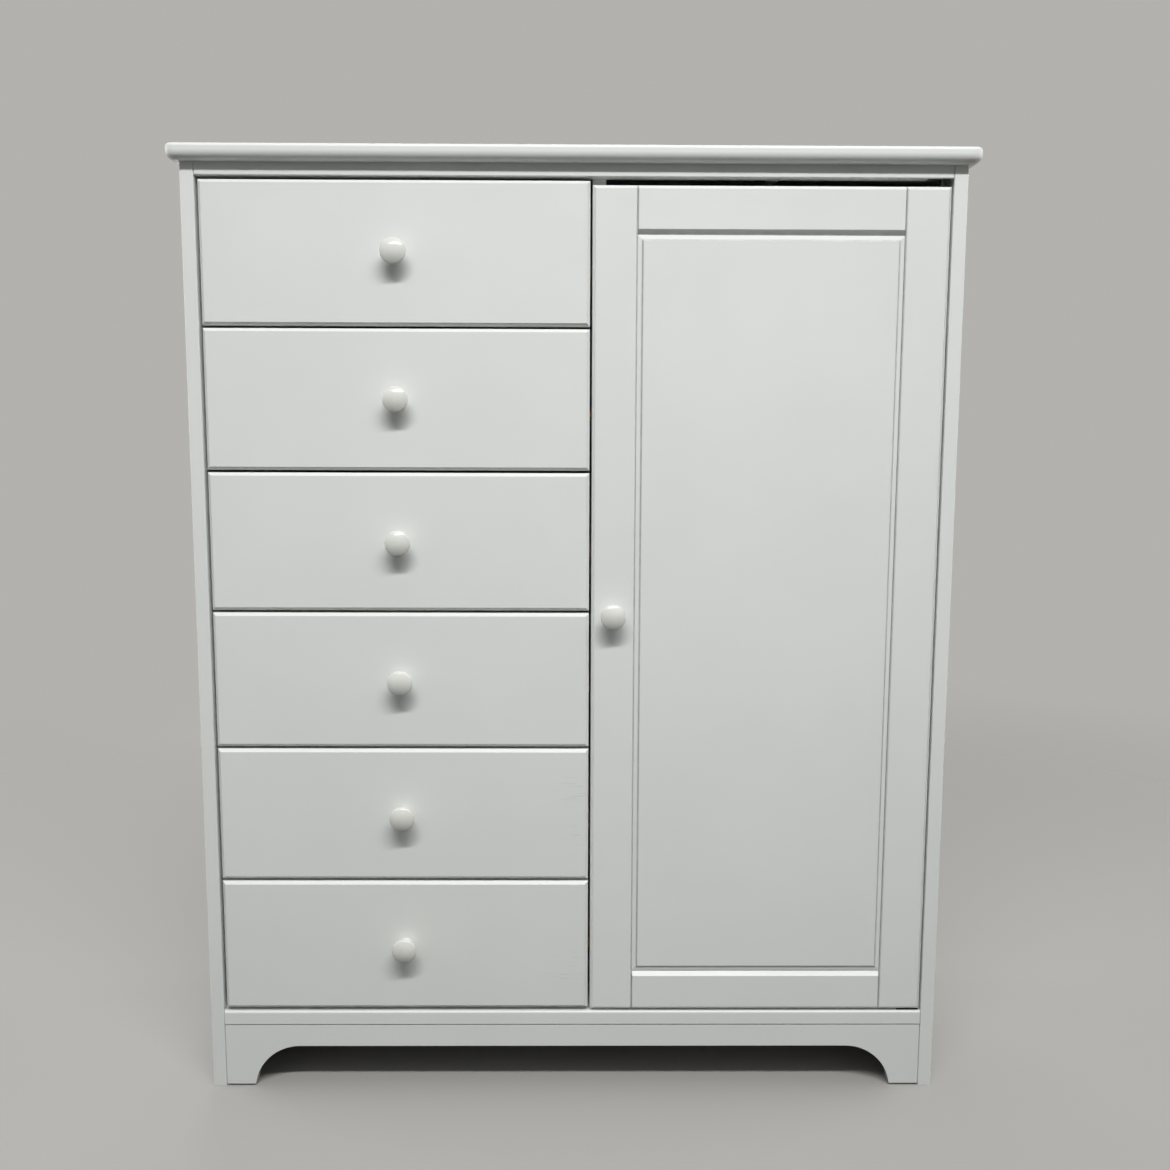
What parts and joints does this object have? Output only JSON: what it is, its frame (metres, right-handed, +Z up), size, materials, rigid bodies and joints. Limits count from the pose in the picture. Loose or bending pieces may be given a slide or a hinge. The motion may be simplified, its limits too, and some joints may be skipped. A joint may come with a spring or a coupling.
{
  "type": "chifforobe",
  "caption": "White painted chifforobe: a stack of drawers with round knobs beside a tall wardrobe behind a frame-and-panel door, on an arched base.",
  "frame": {"origin": "on the floor, at the middle of the whole box, knobs included", "axes": "+Z up, +X to the right as seen from the front, front faces -Y"},
  "size_m": [1.15, 0.4194, 1.41],
  "materials": {
    "white_paint": "wood with satin white paint",
    "knob_paint": "turned wood with glossier white paint",
    "drawer_wood": "clear sealed pine",
    "drawer_ply": "thin plywood, sealed",
    "beech": "waxed beech",
    "pine": "raw sawn pine",
    "back_board": "thin plain board",
    "rod_chrome": "bright plated",
    "steel": "zinc plated, dull",
    "catch_plastic": "moulded, matt"
  },
  "bodies": {
    "carcass": {"top_panel": "white_paint", "left_side": "white_paint", "right_side": "white_paint", "centre_divider": "white_paint", "bottom_panel": "white_paint", "top_front_rail": "white_paint", "front_apron": "white_paint", "base_back_rail": "pine", "back_panel": "back_board", "corner_blocks": "pine", "left_runners": "beech", "right_runners": "beech", "clothes_rod": "rod_chrome", "rod_hangers": "rod_chrome", "door_catch": "catch_plastic", "pivot_plates": "steel"},
    "door": {"door_left_stile": "white_paint", "door_right_stile": "white_paint", "door_top_rail": "white_paint", "door_bottom_rail": "white_paint", "door_panel": "white_paint", "door_knob": "knob_paint", "catch_plate": "steel", "pivot_bushes": "steel"},
    "drawer_1": {"drawer_1_front": "white_paint", "drawer_1_knob": "knob_paint", "drawer_1_left_side": "drawer_wood", "drawer_1_right_side": "drawer_wood", "drawer_1_back": "drawer_wood", "drawer_1_bottom": "drawer_ply"},
    "drawer_2": {"drawer_2_front": "white_paint", "drawer_2_knob": "knob_paint", "drawer_2_left_side": "drawer_wood", "drawer_2_right_side": "drawer_wood", "drawer_2_back": "drawer_wood", "drawer_2_bottom": "drawer_ply"},
    "drawer_3": {"drawer_3_front": "white_paint", "drawer_3_knob": "knob_paint", "drawer_3_left_side": "drawer_wood", "drawer_3_right_side": "drawer_wood", "drawer_3_back": "drawer_wood", "drawer_3_bottom": "drawer_ply"},
    "drawer_4": {"drawer_4_front": "white_paint", "drawer_4_knob": "knob_paint", "drawer_4_left_side": "drawer_wood", "drawer_4_right_side": "drawer_wood", "drawer_4_back": "drawer_wood", "drawer_4_bottom": "drawer_ply"},
    "drawer_5": {"drawer_5_front": "white_paint", "drawer_5_knob": "knob_paint", "drawer_5_left_side": "drawer_wood", "drawer_5_right_side": "drawer_wood", "drawer_5_back": "drawer_wood", "drawer_5_bottom": "drawer_ply"},
    "drawer_6": {"drawer_6_front": "white_paint", "drawer_6_knob": "knob_paint", "drawer_6_left_side": "drawer_wood", "drawer_6_right_side": "drawer_wood", "drawer_6_back": "drawer_wood", "drawer_6_bottom": "drawer_ply"}
  },
  "joints": [
    {"name": "door_hinge", "type": "hinge", "parent": "carcass", "child": "door", "pos_m": [0.5247, -0.17025, 0.74], "axis": [0, 0, 1], "range_deg": [0, 100]},
    {"name": "drawer_1_slide", "type": "slide", "parent": "carcass", "child": "drawer_1", "axis": [0, -1, 0], "range_m": [0, 0.25]},
    {"name": "drawer_2_slide", "type": "slide", "parent": "carcass", "child": "drawer_2", "axis": [0, -1, 0], "range_m": [0, 0.25]},
    {"name": "drawer_3_slide", "type": "slide", "parent": "carcass", "child": "drawer_3", "axis": [0, -1, 0], "range_m": [0, 0.25]},
    {"name": "drawer_4_slide", "type": "slide", "parent": "carcass", "child": "drawer_4", "axis": [0, -1, 0], "range_m": [0, 0.25]},
    {"name": "drawer_5_slide", "type": "slide", "parent": "carcass", "child": "drawer_5", "axis": [0, -1, 0], "range_m": [0, 0.25]},
    {"name": "drawer_6_slide", "type": "slide", "parent": "carcass", "child": "drawer_6", "axis": [0, -1, 0], "range_m": [0, 0.25]}
  ]
}
